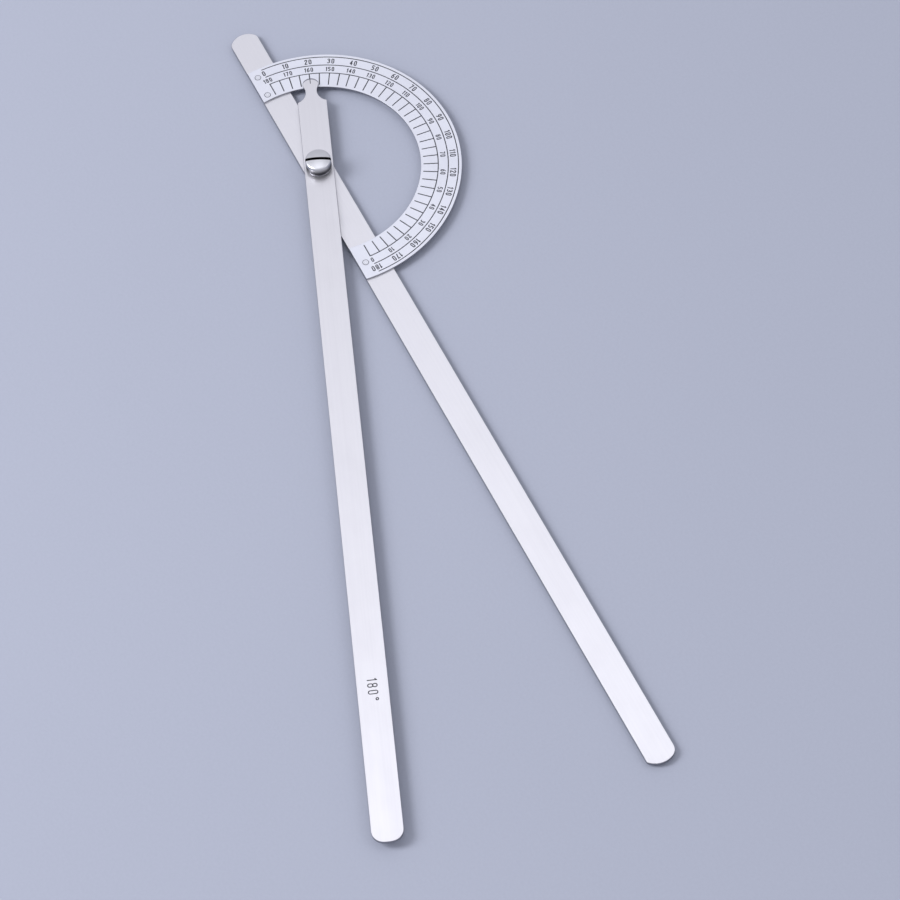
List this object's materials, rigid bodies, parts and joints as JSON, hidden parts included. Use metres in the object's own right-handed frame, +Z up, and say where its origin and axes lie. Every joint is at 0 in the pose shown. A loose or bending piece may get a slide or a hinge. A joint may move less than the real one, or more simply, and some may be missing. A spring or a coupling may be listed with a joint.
{
  "type": "two-arm protractor",
  "caption": "Flat steel protractor: a half-ring degree scale on a fixed arm, with a pointer arm that swings about a screw pivot to measure and set angles.",
  "frame": {"origin": "on the pivot axis, at the underside of the pivot post's flange, which is the part's lowest face", "axes": "+X along the fixed arm towards its long end, +Y from the pivot towards the middle of the scale, +Z up out of the scale's face"},
  "size_m": [0.3774, 0.166, 0.0107],
  "materials": {
    "brushed_blade": "brushed lengthwise, satin",
    "satin_scale": "fine matt satin",
    "rivet_steel": "filed flush",
    "turned_steel": "turned",
    "spring_steel": "plain spring steel",
    "polished_screw": "polished",
    "engraving_fill": "black fill in the engraving"
  },
  "bodies": {
    "fixed_arm": {"fixed_arm": "brushed_blade", "scale_arc": "satin_scale", "scale_rivet_1": "rivet_steel", "scale_rivet_2": "rivet_steel", "scale_rivet_3": "rivet_steel", "pivot_post": "turned_steel", "spacer_washer": "turned_steel"},
    "moving_arm": {"moving_arm": "brushed_blade", "spring_washer": "spring_steel"},
    "pivot_screw": {"pivot_screw": "polished_screw", "thrust_washer": "turned_steel"}
  },
  "joints": [
    {"name": "arm_swing", "type": "hinge", "parent": "fixed_arm", "child": "moving_arm", "pos_m": [0, 0, 0.00445], "axis": [0, 0, 1], "range_deg": [-159.85, 20.15]},
    {"name": "screw_turn", "type": "hinge", "parent": "fixed_arm", "child": "pivot_screw", "pos_m": [0, 0, 0.00606], "axis": [0, 0, 1], "range_deg": [0, 90]}
  ]
}
